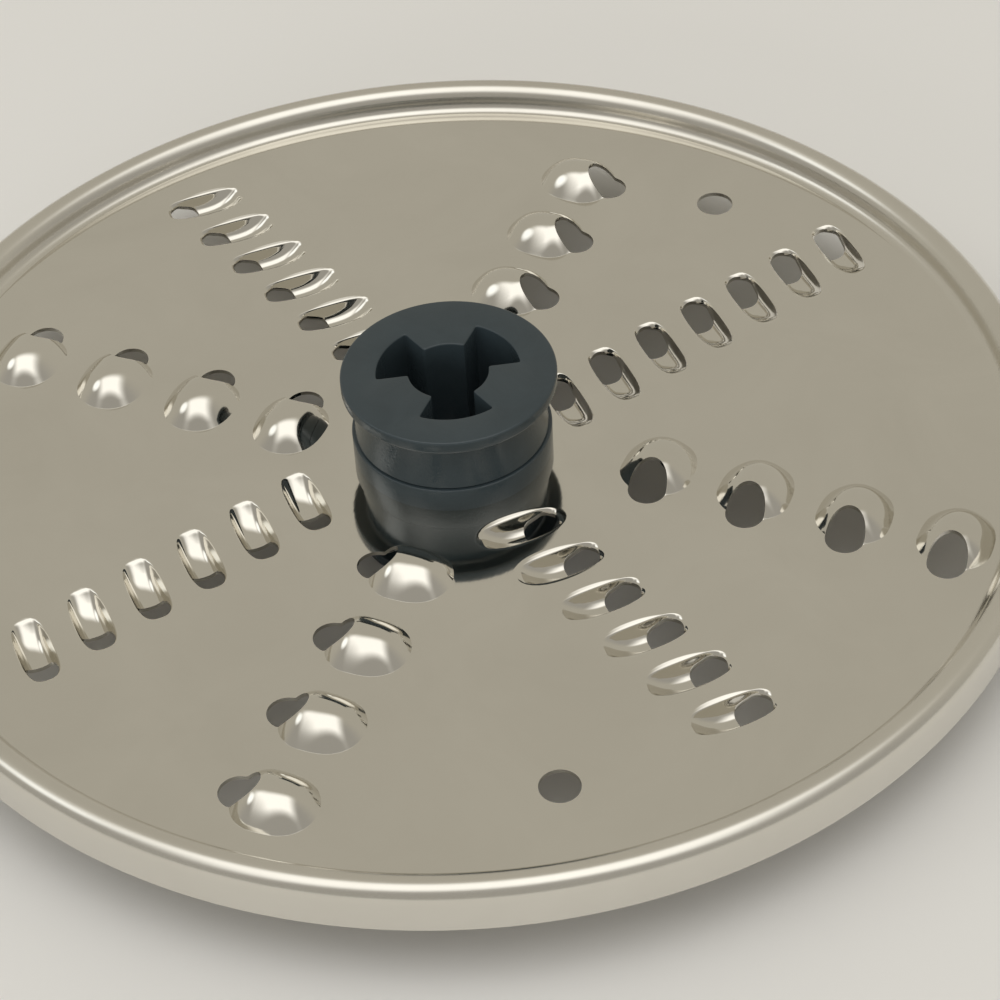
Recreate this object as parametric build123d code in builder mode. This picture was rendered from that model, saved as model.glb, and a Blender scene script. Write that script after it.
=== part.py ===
from build123d import *
from math import cos, radians, sin, tan
import os

# Food processor disc: a stamped sheet disc, coarse teeth one way and fine teeth the other, on a moulded hub.
# Millimetres, +Z up, axis on Z, standing on the hub's lower face; row 1 of the coarse teeth lies on +X.

# Sheet disc
sheet = 0.6
rim_radius = 82.5
bore_radius = 11.3

# Rolled rim: a flank up from the plate, a bead turned over in a few flats and a plain outer wall
bead_radius = 1.6
bead_rise = 1.95
bead_flat_count = 3
flank_slope = 60
wall_drop = 3.3

# Hub, the same above and below the sheet
hub_rise = 13.2
lip_radius = 14.85
lip_thickness = 1.9
body_radius = 13.0
ring_radius = 13.9
ring_height = 3.6

# Drive socket right through the hub: a round bore with three lobes
socket_bore = 5.5
socket_lobe = 9.9
lobe_width = 60
lobe_angle = 90

# Coarse teeth, hoods raised above the sheet round the rear of a window; lengths run along the tooth from the
# middle of its window: where the hood leaves the sheet, where its crest begins and ends, and where it runs out
coarse_radius = 5.4
coarse_rise = 3.4
coarse_start = -0.85
coarse_crown = 3.0
coarse_bend = 7.0
coarse_end = 10.8
coarse_side_count = 12
coarse_window = 2.65
coarse_front = -2.8
coarse_lip = 3.0
coarse_window_count = 8
coarse_pitch = 14.0
coarse_count = 4
coarse_angle = 0
coarse_first = (19.0, 22.9, 26.0, 28.75)

# Fine teeth, the same form pushed below the sheet and facing the other way
fine_radius = 2.8
fine_rise = 3.55
fine_start = -2.6
fine_crown = 2.6
fine_bend = 6.0
fine_end = 9.6
fine_side_count = 6
fine_window = 2.2
fine_front = -2.3
fine_lip = 3.0
fine_window_count = 6
fine_pitch = 8.65
fine_counts = (7, 6, 6, 6)
fine_angle = -30
fine_first = (18.45, 25.7, 23.5, 20.5)
fine_lean = -10

# Two plain round holes near the rim
pin_radius = 2.7
pin_circle = 64.8
pin_angles = (-15.0, -145.4)

# Worked out from the above
sheet_middle = hub_rise + sheet / 2
hub_height = 2 * sheet_middle
reach = 4 * coarse_end


def bead_points(radius, flats):
    """Points on the bead, from the flank round to the outer wall, in (radius, height above mid-sheet)."""
    centre = Vector(rim_radius - bead_radius, sheet / 2 + bead_rise)
    turn = 90 + flank_slope
    angles = [radians(turn * (1 - n / flats)) for n in range(flats + 1)]
    return [(centre.X + radius * cos(a), centre.Y + radius * sin(a)) for a in angles]


def sheet_section():
    """Section of the sheet from its bore to the rim, drawn about the sheet's middle."""
    top = sheet / 2
    bottom = top - wall_drop
    run = 1 / tan(radians(flank_slope))
    outside = bead_points(bead_radius, bead_flat_count)
    inside = bead_points(bead_radius - sheet, bead_flat_count // 2)
    outside_foot = outside[0][0] - (outside[0][1] - top) * run
    inside_foot = inside[0][0] - (inside[0][1] + top) * run
    with BuildSketch(Plane.XZ) as section:
        with BuildLine():
            Polyline(
                (bore_radius, -top),
                (bore_radius, top),
                (outside_foot, top),
                *outside,
                (rim_radius, bottom),
                (rim_radius - sheet, bottom),
                *reversed(inside),
                (inside_foot, -top),
                close=True,
            )
        make_face()
    return section.sketch


def scoop(radius, arch, sides, rise, start, crown, bend, end):
    """Solid under three arches: level along Y, falling to the sheet in front and falling behind."""
    crest = Vector(0, bend, sheet / 2 + rise)
    brow = Vector(0, crown, sheet / 2 + rise)
    level = Plane(crest, (1, 0, 0), (0, -1, 0))
    behind = Plane(crest, (1, 0, 0), Vector(0, bend - end, rise).normalized())
    ahead = Plane(brow, (1, 0, 0), Vector(0, start - crown, -rise).normalized())
    with BuildPart() as form:
        for plane, mode in ((level, Mode.ADD), (behind, Mode.INTERSECT), (ahead, Mode.INTERSECT)):
            with BuildSketch(plane):
                with Locations((0, -radius)):
                    RegularPolygon(arch, sides)
                with Locations((0, -radius - reach / 2)):
                    Rectangle(2 * arch, reach)
            extrude(amount=reach, both=True, mode=mode)
    return form.part


def tooth(radius, sides, *shape):
    """Outside of a tooth, ending inside the sheet."""
    with BuildPart() as outside:
        add(scoop(radius, radius, sides, *shape))
        split(bisect_by=Plane.XY, keep=Keep.TOP)
    return outside.part


def throat(radius, sides, *shape):
    """Hollow under a tooth, one sheet thickness inside it."""
    return scoop(radius, radius - sheet, sides, *shape)


def window(half, front, lip, sides):
    """Oval cut through sheet and tooth, from its front end round to the lip."""
    angles = [radians(360 * n / sides) for n in range(sides)]
    edge = [(half * cos(a), (lip if sin(a) > 0 else -front) * sin(a)) for a in angles]
    with BuildPart() as cut:
        with BuildSketch():
            with BuildLine():
                Polyline(*edge, close=True)
            make_face()
        extrude(amount=reach, both=True)
    return cut.part


def row(angle, first, pitch, count, turn):
    """Places along one radial row, each turned by the same extra rotation."""
    spoke = Location((0, 0, sheet_middle), (0, 0, angle))
    return [spoke * Location((first + pitch * n, 0, 0)) * turn for n in range(count)]


# Places of the teeth: four rows of each kind, each row starting at its own radius
upright = Location((0, 0, 0))
turned_over = Location((0, 0, 0), (0, 0, fine_lean)) * Location((0, 0, 0), (180, 0, 0))
coarse_places = []
fine_places = []
for n in range(4):
    coarse_places += row(coarse_angle + 90 * n, coarse_first[n], coarse_pitch, coarse_count, upright)
    fine_places += row(fine_angle + 90 * n, fine_first[n], fine_pitch, fine_counts[n], turned_over)

coarse_shape = (coarse_rise, coarse_start, coarse_crown, coarse_bend, coarse_end)
coarse_tooth = tooth(coarse_radius, coarse_side_count, *coarse_shape)
coarse_throat = throat(coarse_radius, coarse_side_count, *coarse_shape)
coarse_cut = window(coarse_window, coarse_front, coarse_lip, coarse_window_count)
fine_shape = (fine_rise, fine_start, fine_crown, fine_bend, fine_end)
fine_tooth = tooth(fine_radius, fine_side_count, *fine_shape)
fine_throat = throat(fine_radius, fine_side_count, *fine_shape)
fine_cut = window(fine_window, fine_front, fine_lip, fine_window_count)

# Sheet disc: turned section, then every tooth raised and hollowed, then the round holes
with BuildPart() as disc:
    add(Pos(0, 0, sheet_middle) * revolve(sheet_section(), Axis.Z, mode=Mode.PRIVATE))
    with Locations(*coarse_places):
        add(coarse_tooth)
    with Locations(*fine_places):
        add(fine_tooth)
    with Locations(*coarse_places):
        add(coarse_throat, mode=Mode.SUBTRACT)
        add(coarse_cut, mode=Mode.SUBTRACT)
    with Locations(*fine_places):
        add(fine_throat, mode=Mode.SUBTRACT)
        add(fine_cut, mode=Mode.SUBTRACT)
    with BuildSketch(Plane.XY.offset(sheet_middle - sheet)):
        for angle in pin_angles:
            with PolarLocations(pin_circle, 1, start_angle=angle):
                Circle(pin_radius)
    extrude(amount=2 * sheet, mode=Mode.SUBTRACT)

# Hub: one half turned from its section, mirrored through the sheet, then the socket cut through
with BuildPart() as hub:
    with BuildSketch(Plane.XZ):
        with BuildLine():
            Polyline(
                (0, sheet_middle),
                (bore_radius, sheet_middle),
                (bore_radius, sheet_middle + sheet / 2),
                (ring_radius, sheet_middle + sheet / 2),
                (ring_radius, sheet_middle + sheet / 2 + ring_height),
                (body_radius, sheet_middle + sheet / 2 + ring_height),
                (body_radius, hub_height - lip_thickness),
                (lip_radius, hub_height - lip_thickness),
                (lip_radius, hub_height),
                (0, hub_height),
                close=True,
            )
        make_face()
    revolve(axis=Axis.Z)
    mirror(about=Plane.XY.offset(sheet_middle))
    with BuildSketch(Plane.XY):
        Circle(socket_bore)
        for n in range(3):
            with BuildLine():
                side = PolarLine((0, 0), socket_lobe, lobe_angle - lobe_width / 2 + 120 * n)
                edge = CenterArc((0, 0), socket_lobe, lobe_angle - lobe_width / 2 + 120 * n, lobe_width)
                Line(edge @ 1, side @ 0)
            make_face()
    extrude(amount=hub_height, mode=Mode.SUBTRACT)

os.makedirs("parts", exist_ok=True)
disc.part.label = "disc"
export_step(disc.part, "parts/disc.step")
hub.part.label = "hub"
export_step(hub.part, "parts/hub.step")
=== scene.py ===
# %% [markdown]
# # A reversible grating disc
# The real thing is one stamped, bright-polished steel sheet on a dark moulded hub. Coarse teeth stand up
# on the side we see; fine teeth are pushed down for use with the disc turned over. A mirror-like sheet
# shows every flat facet, so the CAD model's flat-sided teeth and rim are replaced here by smooth surfaces
# of the same size, worked out with numpy.

# %% Load the CAD frame
from math import cos, pi, radians, sin

import bpy
import numpy as np
from mathutils import Matrix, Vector
from mathutils.geometry import delaunay_2d_cdt


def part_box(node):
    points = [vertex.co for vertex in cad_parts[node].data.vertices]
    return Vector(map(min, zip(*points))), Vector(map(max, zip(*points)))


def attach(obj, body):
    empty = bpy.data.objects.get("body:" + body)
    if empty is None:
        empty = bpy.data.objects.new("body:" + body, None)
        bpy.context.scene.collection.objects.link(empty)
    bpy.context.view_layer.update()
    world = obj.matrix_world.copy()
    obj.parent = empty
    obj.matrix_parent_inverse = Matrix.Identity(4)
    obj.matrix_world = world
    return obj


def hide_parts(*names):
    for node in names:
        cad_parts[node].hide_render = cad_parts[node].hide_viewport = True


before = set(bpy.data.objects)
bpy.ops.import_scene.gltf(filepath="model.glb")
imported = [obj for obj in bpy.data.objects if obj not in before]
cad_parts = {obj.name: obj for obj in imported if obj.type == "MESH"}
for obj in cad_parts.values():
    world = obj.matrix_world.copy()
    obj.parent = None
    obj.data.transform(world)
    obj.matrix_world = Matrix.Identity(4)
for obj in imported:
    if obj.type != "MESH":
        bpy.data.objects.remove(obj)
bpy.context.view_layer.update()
disc_low, disc_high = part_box("disc")
hub_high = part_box("hub")[1]
MM = 0.001

# %% [markdown]
# ## Sizes
# All lengths are millimetres until a mesh is written. The rim, the hub and the depth of the fine teeth take
# their outer sizes from the frame, so the picture can never be bigger than the part.

# %% Sizes shared by the pieces
sheet = 0.6
bore_radius = 11.3
hub_height = hub_high[2] / MM
hub_rise = hub_height / 2 - sheet / 2
plate_top = hub_height / 2 + sheet / 2
rim_radius = min(disc_high[0], disc_high[1], -disc_low[0], -disc_low[1]) / MM
rim_rise = disc_high[2] / MM - plate_top
tooth_room = plate_top - sheet - disc_low[2] / MM
print("plate top", round(plate_top, 2), "rim radius", round(rim_radius, 3))
print("room for the teeth below the sheet", round(tooth_room, 3))

# %% [markdown]
# ## Helpers for surfaces
# A surface is a grid of points: one parameter runs along each axis of the array. `grid_faces` joins
# neighbours into triangles, and `joined` makes one surface of several by welding points that coincide, so
# that no seam shows in the finished piece.


# %% Grids and welding
def grid_faces(rows, columns):
    """Two triangles per cell of a rows by columns grid whose last column joins its first."""
    r, c = np.meshgrid(np.arange(rows - 1), np.arange(columns), indexing="ij")
    a = r * columns + c
    b = r * columns + (c + 1) % columns
    d = a + columns
    e = b + columns
    return np.concatenate([np.stack([a, b, e], -1).reshape(-1, 3), np.stack([a, e, d], -1).reshape(-1, 3)])


def weld(points, faces, step=1e-4):
    """Points closer than step become one, and faces left with no area are dropped."""
    keys = np.round(points / step).astype(np.int64)
    _, first, back = np.unique(keys, axis=0, return_index=True, return_inverse=True)
    faces = back.reshape(-1)[faces]
    whole = (faces[:, 0] != faces[:, 1]) & (faces[:, 1] != faces[:, 2]) & (faces[:, 0] != faces[:, 2])
    return points[first], faces[whole]


def joined(parts):
    """One welded surface from pairs of points and faces."""
    starts = np.cumsum([0] + [len(points) for points, _ in parts])
    points = np.concatenate([points for points, _ in parts])
    faces = np.concatenate([faces + start for (_, faces), start in zip(parts, starts)])
    return weld(points, faces)


# %% [markdown]
# A stamped sheet has two sides and cut edges. A Solidify modifier could add them, but it swells inwards on
# tight folds, so `thicken` builds the second side itself. Where the sheet was pressed into teeth, the lower
# side lies straight below, because pressing thins the slopes.


# %% Sheet thickness
def point_normals(points, faces):
    """Unit normals: the sum of the areas of the faces that meet at each point."""
    a, b, c = (points[faces[:, k]] for k in range(3))
    area = np.cross(b - a, c - a)
    total = np.zeros_like(points)
    for k in range(3):
        np.add.at(total, faces[:, k], area)
    return total / np.linalg.norm(total, axis=1, keepdims=True)


def thicken(points, faces, thickness, pressed_radius):
    """A closed sheet: straight down inside the radius, back along the normals outside it, edges walled."""
    count = len(points)
    pressed = np.hypot(points[:, :1], points[:, 1:2]) <= pressed_radius
    lower = points - thickness * np.where(pressed, (0, 0, 1), point_normals(points, faces))
    edges = np.concatenate([faces[:, [0, 1]], faces[:, [1, 2]], faces[:, [2, 0]]])
    key = edges[:, 0] * count + edges[:, 1]
    twin = edges[:, 1] * count + edges[:, 0]
    a, b = edges[~np.isin(key, twin)].T
    walls = np.concatenate([np.stack([b, a, a + count], -1), np.stack([b, a + count, b + count], -1)])
    return np.concatenate([points, lower]), np.concatenate([faces, faces[:, ::-1] + count, walls])


# %% [markdown]
# A flat face with holes in it could be cut by booleans, but a constrained triangulation of its outlines keeps
# every outline point. It also covers the holes, so each triangle is kept or dropped by where its middle lies.
# Blender rounds the points it hands back, so the exact ones are looked up again, or seams would stay open.

# %% Flat faces with holes
inside_outlines = 1
same_point = 1e-6


def within(spots, loop):
    """True where a ray along +X from the spot crosses the loop an odd number of times."""
    ax, ay = loop.T
    bx, by = np.roll(loop, -1, 0).T
    x, y = spots[:, :1], spots[:, 1:]
    straddles = (ay > y) != (by > y)
    rise = np.where(by == ay, 1.0, by - ay)
    crosses = straddles & (x < ax + (y - ay) * (bx - ax) / rise)
    return crosses.sum(1) % 2 == 1


def filled(loops):
    """Flat triangles at z = 0 inside the first loop and outside all the others."""
    starts = np.cumsum([0] + [len(loop) for loop in loops])
    edges = np.concatenate([
        np.column_stack([np.arange(len(loop)), np.roll(np.arange(len(loop)), -1)]) + start
        for loop, start in zip(loops, starts)])
    spots = np.concatenate(loops)
    _, _, faces, source, _, _ = delaunay_2d_cdt(
        spots.tolist(), edges.tolist(), [], inside_outlines, same_point, True)
    xy, faces = spots[np.array(source).ravel()], np.array(faces)
    middle = xy[faces].mean(1)
    keep = within(middle, loops[0])
    for loop in loops[1:]:
        keep &= ~within(middle, loop)
    return np.column_stack([xy, np.zeros(len(xy))]), faces[keep]


# %% [markdown]
# `foreach_set` hands whole arrays to Blender in one call. All faces are shaded smooth, and edges that turn
# by more than the crease angle are marked sharp, so cut edges stay crisp.

# %% From arrays to an object
crease = 40


def new_piece(name, points, faces):
    """A smooth-shaded mesh object in metres whose edges turn sharp above the crease angle."""
    mesh = bpy.data.meshes.new(name)
    mesh.vertices.add(len(points))
    mesh.vertices.foreach_set("co", (points * MM).astype(np.float32).ravel())
    mesh.loops.add(faces.size)
    mesh.loops.foreach_set("vertex_index", faces.astype(np.int32).ravel())
    mesh.polygons.add(len(faces))
    mesh.polygons.foreach_set("loop_start", np.arange(0, faces.size, 3, dtype=np.int32))
    mesh.update(calc_edges=True)
    mesh.validate()
    mesh.polygons.foreach_set("use_smooth", np.ones(len(mesh.polygons), dtype=bool))
    mesh.set_sharp_from_angle(angle=radians(crease))
    piece = bpy.data.objects.new(name, mesh)
    bpy.context.scene.collection.objects.link(piece)
    print(name, len(faces), "triangles")
    return piece


# %% [markdown]
# ## The teeth
# Each tooth is a round window with the sheet behind it pushed up into a hood, or down into a trough. Seen
# from above, the pushed patch is an egg, blunt in front and long behind, and its height depends only on how
# far a point lies inside the egg. It could be sculpted, but a formula gives 41 teeth that are all alike.

# %% Height of a pushed patch
halvings = 30


def push_level(x, y, push):
    """How far in a point lies: q = h (1 - |x/W|^n - |(y-c)/b|^m), zero on the edge of the pushed patch."""
    ahead = y < push["centre"]
    long = np.where(ahead, push["front"], push["rear"])
    power = np.where(ahead, push["ahead"], push["behind"])
    along = np.abs((y - push["centre"]) / long) ** power
    return push["height"] * (1 - np.abs(x / push["half"]) ** push["across"] - along)


def push_height(x, y, push):
    """Height q, run out to the plate by a parabola of half-width k about q = 0."""
    q = push_level(x, y, push)
    k = push["blend"]
    return np.where(q > k, q, np.maximum(q + k, 0) ** 2 / (4 * k))


def level_reach(angle, push, level, limit):
    """Distance along each ray from the window's centre at which q falls to the level, by halving."""
    near, far = np.zeros_like(limit), limit
    for _ in range(halvings):
        middle = (near + far) / 2
        inside = push_level(middle * np.cos(angle), middle * np.sin(angle), push) > level
        near, far = np.where(inside, middle, near), np.where(inside, far, middle)
    return near


# %% [markdown]
# A boolean cut would leave ragged triangles that show in a mirror finish. So a tooth is a set of rings from
# the flat plate in to the window's edge, with one ring along each line where the shape folds: where the
# pushed patch meets its soft run-out, and where the run-out meets the plate. The steps round each ring
# crowd together at the rear, where the shape turns most.

# %% Rings of a tooth
rear_crowding = 0.55
least_ring = 0.03
least_margin = 0.3


def egg_reach(angle, egg):
    """Distance from the window's centre to an egg: the far root of (x/W)^2 + ((y-c)/b)^2 = 1."""
    reach = {}
    for end in ("front", "rear"):
        a = (np.cos(angle) / egg["half"]) ** 2 + (np.sin(angle) / egg[end]) ** 2
        b = np.sin(angle) * egg["centre"] / egg[end] ** 2
        c = (egg["centre"] / egg[end]) ** 2 - 1
        reach[end] = (b + np.sqrt(b * b - a * c)) / a
    return np.where(reach["rear"] * np.sin(angle) > egg["centre"], reach["rear"], reach["front"])


def window_reach(angle, kind):
    """Distance from the window's centre to its edge: |x/W|^n + |y/b|^n = 1, an ellipse in front."""
    front = np.sin(angle) < 0
    long = np.where(front, kind["window_front"], kind["window_rear"])
    power = np.where(front, 2.0, kind["lip_power"])
    across = np.abs(np.cos(angle) / kind["window_half"]) ** power
    return (across + np.abs(np.sin(angle) / long) ** power) ** (-1 / power)


def tooth_surface(kind):
    """Points and faces from the flat plate in to the window's edge, and the outer outline in the plane."""
    even = np.arange(kind["steps"]) * 2 * pi / kind["steps"]
    angle = even + rear_crowding * np.cos(even)
    outline = egg_reach(angle, kind["outline"])
    folds = [window_reach(angle, kind)]
    for push in kind["pushes"]:
        for level in (push["blend"], -push["blend"]):
            folds.append(np.maximum(level_reach(angle, push, level, outline), folds[-1] + least_ring))
    folds.append(np.maximum(outline, folds[-1] + least_margin))
    inwards = folds[::-1]
    stages = [np.linspace(outer, inner, rings, endpoint=False)
              for outer, inner, rings in zip(inwards, inwards[1:], kind["rings"])]
    reach = np.concatenate(stages + [folds[:1]])
    x, y = reach * np.cos(angle), reach * np.sin(angle)
    z = kind["sense"] * sum(push_height(x, y, push) for push in kind["pushes"])
    points = np.stack([x, y, z], -1)
    return points.reshape(-1, 3), grid_faces(len(reach), kind["steps"]), points[0, :, :2]


# %% [markdown]
# The coarse tooth is one hood, 3.4 mm high. The fine one goes down: a narrow trough, and round it a shallow
# dish where the sheet was drawn in with it, which rolls down the window's whole edge. Lengths run from the
# middle of the window; front and rear are measured from the egg's own centre.

# %% Two kinds of tooth
hood = {
    "height": 3.4, "half": 5.05, "front": 4.35, "rear": 7.1, "centre": 3.5,
    "across": 2.0, "ahead": 2.0, "behind": 3.0, "blend": 0.02,
}
dish_depth = 0.7
room_used = 0.86
fine_depth = room_used * tooth_room
trough = {
    "height": fine_depth - dish_depth, "half": 2.4, "front": 4.7, "rear": 6.7, "centre": 2.5,
    "across": 4.0, "ahead": 2.2, "behind": 2.6, "blend": 0.25,
}
dish = {
    "height": dish_depth, "half": 3.05, "front": 6.9, "rear": 6.0, "centre": 4.0,
    "across": 2.0, "ahead": 2.0, "behind": 2.6, "blend": 0.06,
}
coarse = {
    "sense": 1, "pushes": [hood],
    "window_half": 2.65, "window_front": 2.8, "window_rear": 3.0, "lip_power": 2.0,
    "outline": {"half": 5.4, "front": 4.9, "rear": 8.0, "centre": 3.5},
    "steps": 60, "rings": (2, 3, 11),
}
fine = {
    "sense": -1, "pushes": [trough, dish],
    "window_half": 2.0, "window_front": 2.0, "window_rear": 2.7, "lip_power": 4.5,
    "outline": {"half": 3.4, "front": 7.4, "rear": 6.6, "centre": 4.0},
    "steps": 48, "rings": (2, 3, 2, 4, 7),
}
print("hood height", hood["height"], "trough depth", round(fine_depth, 2))

# %% [markdown]
# ## Where the teeth stand
# Four rows of each kind are a quarter turn apart. Each row starts at its own radius, so that the cuts of one
# row fall between those of the next. The fine teeth face the other way and lean in their rows.

# %% Rows of teeth
row_count = 4
quarter = 90
coarse_first = (19.0, 22.9, 26.0, 28.75)
coarse_count = 4
coarse_pitch = 14.0
fine_first = (18.45, 25.7, 23.5, 20.5)
fine_counts = (7, 6, 6, 6)
fine_pitch = 8.65
fine_offset = -30
fine_lean = -14.0
places = [(coarse, quarter * k, coarse_first[k] + coarse_pitch * n, 0)
          for k in range(row_count) for n in range(coarse_count)]
places += [(fine, quarter * k + fine_offset, fine_first[k] + fine_pitch * n, 180 + fine_lean)
           for k in range(row_count) for n in range(fine_counts[k])]
print(len(places), "teeth")


def set_in_row(points, row_angle, radius, turn):
    """Turn a tooth about its own window, move it out along +X and swing it to its row."""
    c, s = cos(radians(turn)), sin(radians(turn))
    x = c * points[:, 0] - s * points[:, 1] + radius
    y = s * points[:, 0] + c * points[:, 1]
    c, s = cos(radians(row_angle)), sin(radians(row_angle))
    return np.column_stack([c * x - s * y, s * x + c * y, *points.T[2:]])


# %% [markdown]
# ## The rim
# The sheet's edge is rolled over for stiffness. Seen in section, it is a hollow up from the plate, a round
# bead and a straight wall. A Screw modifier could turn such a section, but here the grid of points is worked
# out directly, so that its first ring meets the flat plate exactly.

# %% Rim section and surface
bead_radius = 2.2
bead_steps = 18
hollow_radius = 1.6
hollow_steps = 10
wall_drop = 3.3
rim_margin = 0.15
rim_steps = 240


def rim_section():
    """Radius and height outwards: flat margin, hollow arc, bead arc that touches it, straight wall down."""
    centre = rim_radius - bead_radius
    bead_rise = rim_rise - bead_radius
    span = bead_radius + hollow_radius
    lean = np.arcsin((bead_rise - hollow_radius) / span)
    foot = centre - span * np.cos(lean)
    up = np.linspace(-pi / 2, lean, hollow_steps)
    over = np.linspace(pi + lean, 0, bead_steps)[1:]
    hollow = np.column_stack([foot + hollow_radius * np.cos(up), hollow_radius + hollow_radius * np.sin(up)])
    bead = np.column_stack([centre + bead_radius * np.cos(over), bead_rise + bead_radius * np.sin(over)])
    return np.vstack([[foot - rim_margin, 0], hollow, bead, [rim_radius, -wall_drop]])


def turned(section, steps):
    """A section of radius and height pairs carried round the Z axis, as rows of points."""
    a = np.arange(steps) * 2 * pi / steps
    radius, height = section[:, :1], section[:, 1:]
    return np.stack([radius * np.cos(a), radius * np.sin(a), np.repeat(height, steps, 1)], -1)


rim = rim_section()
rim_start = rim[0, 0]
rim_foot = rim[1, 0]
parts = [(turned(rim, rim_steps).reshape(-1, 3), grid_faces(len(rim), rim_steps)[:, ::-1])]
print("rim starts at radius", round(rim_start, 2), "and has", len(parts[0][1]), "triangles")

# %% [markdown]
# ## The sheet
# The flat plate lies between the rim, the bore, the two round holes and the teeth. Booleans could join the
# teeth to it, but it shares its outline points with them, so everything welds into one sheet without slivers.
# The sheet is then thickened.


# %% Teeth, flat plate and one welded sheet
def circle(radius, steps, centre=(0, 0)):
    """Points of a circle in the plane, counter-clockwise."""
    a = np.arange(steps) * 2 * pi / steps
    return np.column_stack([centre[0] + radius * np.cos(a), centre[1] + radius * np.sin(a)])


bore_steps = 120
pin_radius = 2.7
pin_steps = 48
pin_circle = 64.8
pin_angles = (-15.0, -145.4)
loops = [circle(rim_start, rim_steps), circle(bore_radius, bore_steps)]
for pin_angle in pin_angles:
    pin_centre = (pin_circle * cos(radians(pin_angle)), pin_circle * sin(radians(pin_angle)))
    loops.append(circle(pin_radius, pin_steps, pin_centre))
for kind, row_angle, radius, turn in places:
    points, faces, outline = tooth_surface(kind)
    parts.append((set_in_row(points, row_angle, radius, turn), faces))
    loops.append(set_in_row(outline, row_angle, radius, turn))
parts.append(filled(loops))
print("flat plate", len(parts[-1][1]), "triangles")

sheet_points, sheet_faces = thicken(*joined(parts), sheet, rim_foot)
sheet_points[:, 2] += plate_top
disc = new_piece("polished_sheet", sheet_points, sheet_faces)

# %% [markdown]
# ## The hub
# The hub is a plastic moulding, the same above and below the sheet: a ring at the sheet, a fine line, a body
# that tapers a little and a lip. A Bevel modifier could round its edges, but the edges of a turned form are
# rounded more simply in the section itself, with small arcs.


# %% Hub section
def arc(centre, radius, start, end, steps):
    """Points of an arc from start to end degrees, as radius and height pairs."""
    a = np.radians(np.linspace(start, end, steps))
    return np.column_stack([centre[0] + radius * np.cos(a), centre[1] + radius * np.sin(a)])


lip_radius = hub_high[0] / MM
lip_thickness = 1.9
lip_round = 0.35
body_top = 12.7
body_foot = 13.5
neck_round = 0.5
ring_radius = 13.9
ring_height = 3.6
ring_round = 0.25
line_depth = 0.35
line_height = 0.25
lip_under = hub_rise - lip_thickness
lip_edge = lip_radius - lip_round
half = np.concatenate([
    [(ring_radius, 0)],
    arc((ring_radius - ring_round, ring_height - ring_round), ring_round, start=0, end=90, steps=4),
    [(body_foot - line_depth, ring_height)],
    [(body_foot - line_depth, ring_height + line_height)],
    [(body_foot, ring_height + line_height)],
    arc((body_top + neck_round, lip_under - neck_round), neck_round, start=180, end=90, steps=5),
    arc((lip_edge, lip_under + lip_round), lip_round, start=-90, end=0, steps=6),
    arc((lip_edge, hub_rise - lip_round), lip_round, start=0, end=90, steps=6),
])
upper = half + [0, plate_top]
lower = upper[::-1] * [1, -1] + [0, hub_height]
outside = np.concatenate([lower, upper])
print("hub section", len(outside), "points, lip radius", round(lip_radius, 2))

# %% [markdown]
# ## The drive socket
# A round bore with three lobes goes right through the hub. A boolean cut and a bevel could make it, but its
# inner and outer corners are awkward to bevel together. So its outline is drawn from arcs, sampled at even
# steps and blurred a little, which rounds every corner by the same small amount, as a mould does.


# %% Socket outline
def softened(outline, samples, spread):
    """The outline at even steps of length, with its corners rounded by a Gaussian blur of that spread."""
    ends = np.vstack([outline, outline[:1]])
    length = np.concatenate([[0], np.cumsum(np.linalg.norm(np.diff(ends, axis=0), axis=1))])
    even = np.arange(samples) * length[-1] / samples
    points = np.column_stack([np.interp(even, length, ends[:, k]) for k in range(2)])
    wave = np.fft.fftfreq(samples, length[-1] / samples)
    blur = np.exp(-2 * (pi * wave * spread) ** 2)[:, None]
    return np.fft.ifft(np.fft.fft(points, axis=0) * blur, axis=0).real


def outward(outline):
    """Unit directions that point out of a counter-clockwise outline, from its central differences."""
    along = np.roll(outline, -1, 0) - np.roll(outline, 1, 0)
    along /= np.linalg.norm(along, axis=1, keepdims=True)
    return np.column_stack([along[:, 1], -along[:, 0]])


socket_bore = 5.5
socket_lobe = 9.9
lobe_count = 3
lobe_half = 30
lobe_angle = 90
third = 120
arc_steps = 40
socket_samples = 300
corner_spread = 0.22
lobe_turn = np.radians(np.linspace(-lobe_half, lobe_half, arc_steps))
bore_turn = np.radians(np.linspace(lobe_half, third - lobe_half, arc_steps))
third_turn = np.concatenate([lobe_turn, bore_turn])
socket_turn = np.concatenate([third_turn + radians(lobe_angle + third * k) for k in range(lobe_count)])
socket_reach = np.tile(np.repeat([socket_lobe, socket_bore], arc_steps), lobe_count)
socket_xy = np.column_stack([socket_reach * np.cos(socket_turn), socket_reach * np.sin(socket_turn)])
socket_xy = softened(socket_xy, socket_samples, corner_spread)
print("socket outline", len(socket_xy), "points")

# %% [markdown]
# The socket's wall is that outline carried from end to end, a little wider at each mouth, where a quarter
# round leads in. Flat faces with the socket's hole join it to the turned outside.

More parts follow.
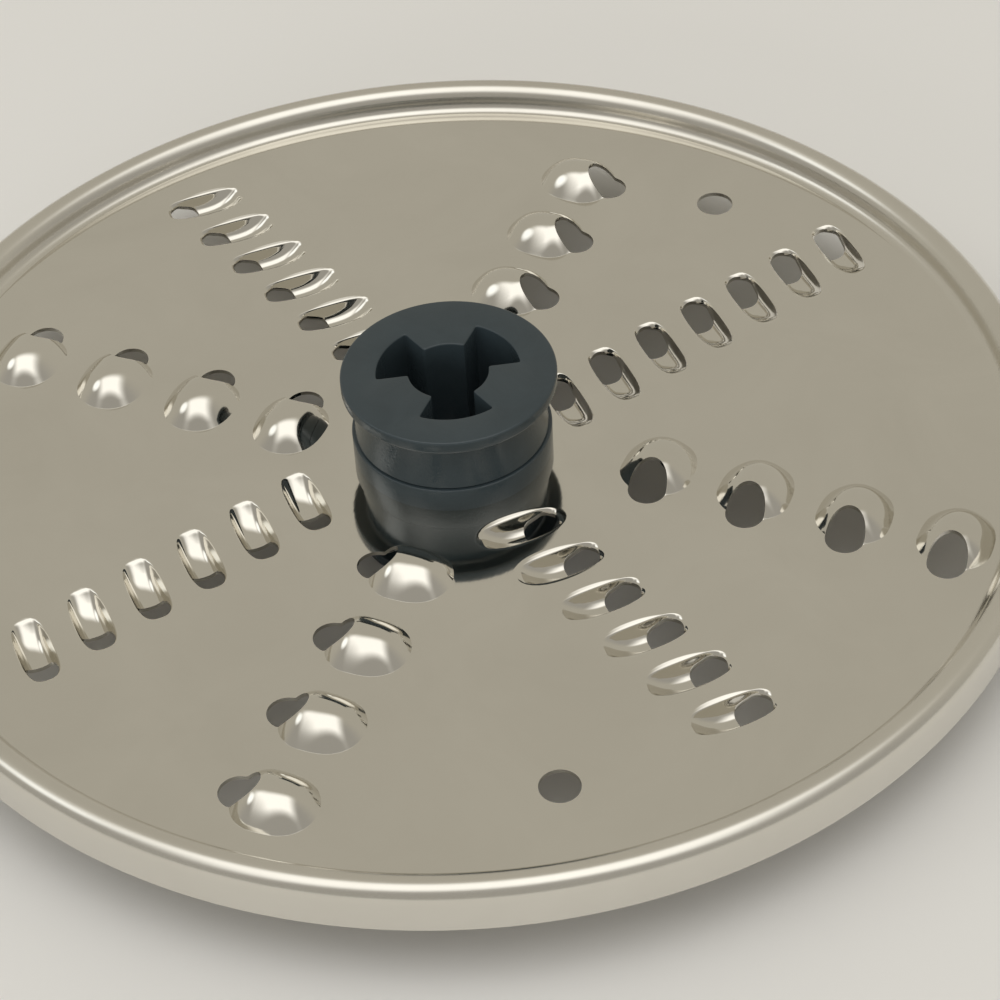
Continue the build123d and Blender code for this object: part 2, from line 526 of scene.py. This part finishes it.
# %% Hub mesh
mouth_round = 0.25
mouth_steps = 5
wall_levels = 4
hub_steps = 144
mouth_turn = np.linspace(0, pi / 2, mouth_steps)
mouth_wide = mouth_round * (1 - np.sin(mouth_turn))
mouth_deep = mouth_round * (1 - np.cos(mouth_turn))
between = np.linspace(mouth_round, hub_height - mouth_round, wall_levels + 2)[1:-1]
widen = np.concatenate([mouth_wide, np.zeros(wall_levels), mouth_wide[::-1]])
level = np.concatenate([mouth_deep, between, hub_height - mouth_deep[::-1]])
bored_xy = socket_xy + widen[:, None, None] * outward(socket_xy)
bored_z = np.broadcast_to(level[:, None, None], (len(level), socket_samples, 1))
bored = np.concatenate([bored_xy, bored_z], -1)
shell = turned(outside, hub_steps)
end_points, end_faces = filled([shell[-1, :, :2], bored[-1, :, :2]])
hub = new_piece("moulded_hub", *joined([
    (shell.reshape(-1, 3), grid_faces(len(outside), hub_steps)),
    (bored.reshape(-1, 3), grid_faces(len(level), socket_samples)[:, ::-1]),
    (end_points + [0, 0, hub_height], end_faces),
    (end_points, end_faces[:, ::-1]),
]))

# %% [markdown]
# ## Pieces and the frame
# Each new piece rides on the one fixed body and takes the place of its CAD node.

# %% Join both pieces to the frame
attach(disc, "root")
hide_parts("disc")
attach(hub, "root")
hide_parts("hub")
print("two pieces on root")

# %% [markdown]
# ## Finishes
# Both surfaces have been handled, and show it as faint smudges and hairlines. The effect could be built in
# each material, but one node group with named sockets serves both, each at its own scale and strength.


# %% Node helper and the handling marks group
def add_node(tree, kind, **settings):
    """A node of that kind with its settings applied."""
    node = tree.nodes.new(kind)
    for key, value in settings.items():
        setattr(node, key, value)
    return node


marks = bpy.data.node_groups.new("handling_marks", "ShaderNodeTree")
marks.interface.new_socket("Vector", in_out="INPUT", socket_type="NodeSocketVector")
marks.interface.new_socket("Scale", in_out="INPUT", socket_type="NodeSocketFloat")
marks.interface.new_socket("Smudge", in_out="OUTPUT", socket_type="NodeSocketFloat")
marks.interface.new_socket("Hairline", in_out="OUTPUT", socket_type="NodeSocketFloat")
group_in = add_node(marks, "NodeGroupInput")
group_out = add_node(marks, "NodeGroupOutput")
smudge = add_node(marks, "ShaderNodeTexNoise")
smudge.inputs["Detail"].default_value = 4.0
smudge.inputs["Roughness"].default_value = 0.6
smudge.inputs["Distortion"].default_value = 0.6
marks.links.new(group_in.outputs["Vector"], smudge.inputs["Vector"])
marks.links.new(group_in.outputs["Scale"], smudge.inputs["Scale"])
stretch = add_node(marks, "ShaderNodeMapping")
stretch.inputs["Rotation"].default_value = (0.0, 0.0, 0.6)
stretch.inputs["Scale"].default_value = (1.0, 60.0, 1.0)
marks.links.new(group_in.outputs["Vector"], stretch.inputs["Vector"])
hairline = add_node(marks, "ShaderNodeTexNoise")
hairline.inputs["Detail"].default_value = 2.0
marks.links.new(stretch.outputs["Vector"], hairline.inputs["Vector"])
marks.links.new(group_in.outputs["Scale"], hairline.inputs["Scale"])
marks.links.new(smudge.outputs["Fac"], group_out.inputs["Smudge"])
marks.links.new(hairline.outputs["Fac"], group_out.inputs["Hairline"])
print("handling marks", len(marks.nodes), "nodes")

# %% [markdown]
# Two things are the same in both materials: a base colour that drifts between two close tones with the
# smudges, and a fine relief. They are small functions, so each finish below is only a list of its own values.

# %% Material helpers
noise_low = 0.3
noise_high = 0.7


def ranged(tree, value, low, high):
    """The usual spread of a noise value carried to low and high."""
    node = add_node(tree, "ShaderNodeMapRange")
    node.inputs["From Min"].default_value = noise_low
    node.inputs["From Max"].default_value = noise_high
    node.inputs["To Min"].default_value = low
    node.inputs["To Max"].default_value = high
    tree.links.new(value, node.inputs["Value"])
    return node.outputs["Result"]


def new_finish(name, marks_scale, first_tone, second_tone):
    """A material whose base colour drifts between two tones: its tree, shader, coordinates and marks."""
    material = bpy.data.materials.new(name)
    material.use_nodes = True
    tree = material.node_tree
    shader = tree.nodes["Principled BSDF"]
    coords = add_node(tree, "ShaderNodeTexCoord")
    handled = add_node(tree, "ShaderNodeGroup", node_tree=marks)
    handled.inputs["Scale"].default_value = marks_scale
    tree.links.new(coords.outputs["Object"], handled.inputs["Vector"])
    tone = add_node(tree, "ShaderNodeMix", data_type="RGBA")
    tone.inputs["A"].default_value = first_tone
    tone.inputs["B"].default_value = second_tone
    tree.links.new(ranged(tree, handled.outputs["Smudge"], 0.0, 1.0), tone.inputs["Factor"])
    tree.links.new(tone.outputs["Result"], shader.inputs["Base Color"])
    return material, tree, shader, coords, handled


def relief(tree, shader, height, strength, distance):
    """Bump from a height into the shader's normal."""
    bump = add_node(tree, "ShaderNodeBump")
    bump.inputs["Strength"].default_value = strength
    bump.inputs["Distance"].default_value = distance
    tree.links.new(height, bump.inputs["Height"])
    tree.links.new(bump.outputs["Normal"], shader.inputs["Normal"])


# %% [markdown]
# The plate is polished until it is nearly a mirror, while the rolled rim keeps a soft satin. Two materials
# would leave a hard line between them, so one material raises its roughness with the distance from the axis.

# %% Polished steel
satin_run = 0.5
satin_roughness = 0.17
steel, tree, shader, coords, handled = new_finish(
    "polished_steel", marks_scale=45.0,
    first_tone=(0.74, 0.715, 0.655, 1.0), second_tone=(0.70, 0.675, 0.615, 1.0))
shader.inputs["Metallic"].default_value = 1.0
level_part = add_node(tree, "ShaderNodeVectorMath", operation="MULTIPLY")
level_part.inputs[1].default_value = (1.0, 1.0, 0.0)
tree.links.new(coords.outputs["Object"], level_part.inputs[0])
from_axis = add_node(tree, "ShaderNodeVectorMath", operation="LENGTH")
tree.links.new(level_part.outputs["Vector"], from_axis.inputs[0])
satin = add_node(tree, "ShaderNodeMapRange", interpolation_type="SMOOTHSTEP")
satin.inputs["From Min"].default_value = rim_foot * MM
satin.inputs["From Max"].default_value = (rim_foot + satin_run) * MM
satin.inputs["To Max"].default_value = satin_roughness
tree.links.new(from_axis.outputs["Value"], satin.inputs["Value"])
roughness = add_node(tree, "ShaderNodeMath", operation="ADD")
tree.links.new(ranged(tree, handled.outputs["Smudge"], low=0.05, high=0.09), roughness.inputs[0])
tree.links.new(satin.outputs["Result"], roughness.inputs[1])
tree.links.new(roughness.outputs["Value"], shader.inputs["Roughness"])
relief(tree, shader, handled.outputs["Hairline"], strength=0.004, distance=0.0005)
disc.data.materials.append(steel)
print(steel.name, len(tree.nodes), "nodes")

# %% [markdown]
# The hub is dark slate-grey plastic with a low gloss. A mould leaves a very fine grain, far too fine to model
# as faces, so a small noise is used as relief.

# %% Moulded plastic
plastic, tree, shader, coords, handled = new_finish(
    "slate_plastic", marks_scale=140.0,
    first_tone=(0.032, 0.045, 0.052, 1.0), second_tone=(0.039, 0.054, 0.062, 1.0))
shader.inputs["Specular IOR Level"].default_value = 0.45
tree.links.new(ranged(tree, handled.outputs["Smudge"], low=0.14, high=0.22), shader.inputs["Roughness"])
grain = add_node(tree, "ShaderNodeTexNoise")
grain.inputs["Scale"].default_value = 2600.0
grain.inputs["Detail"].default_value = 3.0
tree.links.new(coords.outputs["Object"], grain.inputs["Vector"])
relief(tree, shader, grain.outputs["Fac"], strength=0.25, distance=0.0001)
hub.data.materials.append(plastic)
print(plastic.name, len(tree.nodes), "nodes")

# %% [markdown]
# ## Floor
# A wide, pale, slightly rough floor carries the shadow. It isn't part of the object.

# %% Pale floor
floor_half = 3.0
floor_mesh = bpy.data.meshes.new("floor")
corners = np.array([(-1, -1, 0), (1, -1, 0), (1, 1, 0), (-1, 1, 0)]) * floor_half
floor_mesh.from_pydata(corners.tolist(), [], [(0, 1, 2, 3)])
floor = bpy.data.objects.new("floor", floor_mesh)
bpy.context.scene.collection.objects.link(floor)
pale = bpy.data.materials.new("pale_floor")
pale.use_nodes = True
pale_shader = pale.node_tree.nodes["Principled BSDF"]
pale_shader.inputs["Base Color"].default_value = (0.80, 0.79, 0.77, 1.0)
pale_shader.inputs["Roughness"].default_value = 0.7
floor_mesh.materials.append(pale)
print("floor", 2 * floor_half, "m square")

# %% [markdown]
# ## Camera
# The camera stands where the photograph was taken from. Its turn, rise, roll, distance and focal length were
# fitted to the rim, the hub and the rows of teeth. They are given about the middle of the plate.

# %% Camera at the photograph's angle
view_turn = -65.5
view_rise = 43.79
view_roll = -3.29
view_distance = 394.94
aim_right = 6.5
aim_up = -8.18
focal_pixels = 2832.85
frame_pixels = 1000
sensor = 36.0


def turned_about_z(v, degrees):
    """A vector turned about +Z."""
    c, s = cos(radians(degrees)), sin(radians(degrees))
    return np.array([c * v[0] - s * v[1], s * v[0] + c * v[1], v[2]])


def standing(side, rise, back, place):
    """World matrix of a camera or lamp from its X, Y and Z axes and its place."""
    return Matrix(np.vstack([np.column_stack([side, rise, back, place]), [0, 0, 0, 1]]).tolist())


e, r = radians(view_rise), radians(view_roll)
forward = np.array([0, cos(e), -sin(e)])
level_right = np.array([1.0, 0, 0])
level_up = np.cross(level_right, forward)
right = cos(r) * level_right + sin(r) * level_up
up = -sin(r) * level_right + cos(r) * level_up
eye = aim_right * right + aim_up * up - view_distance * forward
right, up, forward, eye = (turned_about_z(v, view_turn) for v in (right, up, forward, eye))
eye = (eye + [0, 0, plate_top]) * MM
camera_data = bpy.data.cameras.new("camera")
camera_data.sensor_width = sensor
camera_data.lens = focal_pixels / frame_pixels * sensor
camera = bpy.data.objects.new("camera", camera_data)
camera.matrix_world = standing(right, up, -forward, eye)
bpy.context.scene.collection.objects.link(camera)
bpy.context.scene.camera = camera
print("camera lens", round(camera_data.lens, 1), "eye", np.round(eye, 3))

# %% [markdown]
# ## Soft boxes
# Two area lamps light the plastic and the floor: one overhead, one low on the camera's side. Their sharp
# edges would show in the mirror-like sheet, so they are hidden from reflections.


# %% Soft boxes
def soft_box(name, azimuth, elevation, distance, width, depth, power):
    """An area lamp that faces the disc; azimuth 0 is the camera's side, 90 its right."""
    a, h = radians(azimuth), radians(elevation)
    toward = turned_about_z(np.array([sin(a) * cos(h), -cos(a) * cos(h), sin(h)]), view_turn)
    side = np.cross([0, 0, 1], toward)
    side /= np.linalg.norm(side)
    data = bpy.data.lights.new(name, "AREA")
    data.shape = "RECTANGLE"
    data.size = width
    data.size_y = depth
    data.energy = power
    lamp = bpy.data.objects.new(name, data)
    place = toward * distance + [0, 0, plate_top * MM]
    lamp.matrix_world = standing(side, np.cross(toward, side), toward, place)
    lamp.visible_glossy = False
    bpy.context.scene.collection.objects.link(lamp)
    print(name, power, "W")


soft_box("overhead_softbox", azimuth=0, elevation=78, distance=1.1, width=0.5, depth=0.9, power=1.2)
soft_box("front_softbox", azimuth=-25, elevation=12, distance=1.2, width=0.8, depth=0.5, power=3.4)

# %% [markdown]
# ## Surround
# What the sheet reflects makes its look. The surround is even and slightly warm, with a broad soft strip
# overhead, which puts the white lines on the rim and the highlights on the hoods, and a small soft window on
# the left. Lamps could do the same, but smooth steps in the world have no edges that a mirror would show.

# %% Surround helpers
world = bpy.data.worlds.new("surround")
world.use_nodes = True
bpy.context.scene.world = world
tree = world.node_tree
direction = add_node(tree, "ShaderNodeTexCoord")


def along(axis):
    """How much of each direction lies along the axis, where (left, toward the camera, up) gives the axis."""
    node = add_node(tree, "ShaderNodeVectorMath", operation="DOT_PRODUCT")
    left, near, rise = axis
    node.inputs[1].default_value = turned_about_z(np.array([-left, -near, rise]), view_turn)
    tree.links.new(direction.outputs["Generated"], node.inputs[0])
    return node.outputs["Value"]


def eased(value, low, high):
    """Smooth step from 0 at low to 1 at high."""
    node = add_node(tree, "ShaderNodeMapRange", interpolation_type="SMOOTHSTEP")
    node.inputs["From Min"].default_value = low
    node.inputs["From Max"].default_value = high
    tree.links.new(value, node.inputs["Value"])
    return node.outputs["Result"]


def product(first, second):
    """Two masks multiplied."""
    node = add_node(tree, "ShaderNodeMath", operation="MULTIPLY")
    tree.links.new(first, node.inputs[0])
    tree.links.new(second, node.inputs[1])
    return node.outputs["Value"]


def blended(first, second, mask):
    """Mix two colours, each a linked output or a plain colour, by a mask."""
    node = add_node(tree, "ShaderNodeMix", data_type="RGBA")
    for socket, colour in (("A", first), ("B", second)):
        if isinstance(colour, tuple):
            node.inputs[socket].default_value = colour
        else:
            tree.links.new(colour, node.inputs[socket])
    tree.links.new(mask, node.inputs["Factor"])
    return node.outputs["Result"]


# %% [markdown]
# Each pair of limits below says where a mask is 0 and where it is 1, measured along one direction. The strip
# is the product of four masks: not too far to the sides, behind, in front or below.

# %% Walls, overhead strip and window
far_wall = (0.50, 0.475, 0.41, 1.0)
near_wall = (0.41, 0.395, 0.36, 1.0)
wall_limits = (-0.25, 0.35)
strip_white = (1.45, 1.43, 1.38, 1.0)
strip_side_limits = (0.75, 0.35)
strip_far_limits = (-0.3, 0.0)
strip_near_limits = (0.7, 0.42)
strip_low_limits = (0.1, 0.4)
window_white = (1.5, 1.52, 1.5, 1.0)
window_axis = (0.72, 0.0, 0.694)
window_limits = (cos(radians(15)), cos(radians(4)))
sideways = add_node(tree, "ShaderNodeMath", operation="ABSOLUTE")
tree.links.new(along((1, 0, 0)), sideways.inputs[0])
near = along((0, 1, 0))
strip = product(eased(sideways.outputs["Value"], *strip_side_limits), eased(near, *strip_far_limits))
strip = product(strip, eased(near, *strip_near_limits))
strip = product(strip, eased(along((0, 0, 1)), *strip_low_limits))
window = eased(along(window_axis), *window_limits)
lit = blended(far_wall, near_wall, eased(near, *wall_limits))
lit = blended(lit, strip_white, strip)
lit = blended(lit, window_white, window)
tree.links.new(lit, tree.nodes["Background"].inputs["Color"])
bpy.context.scene.view_settings.view_transform = "Standard"
print("surround", len(tree.nodes), "nodes")
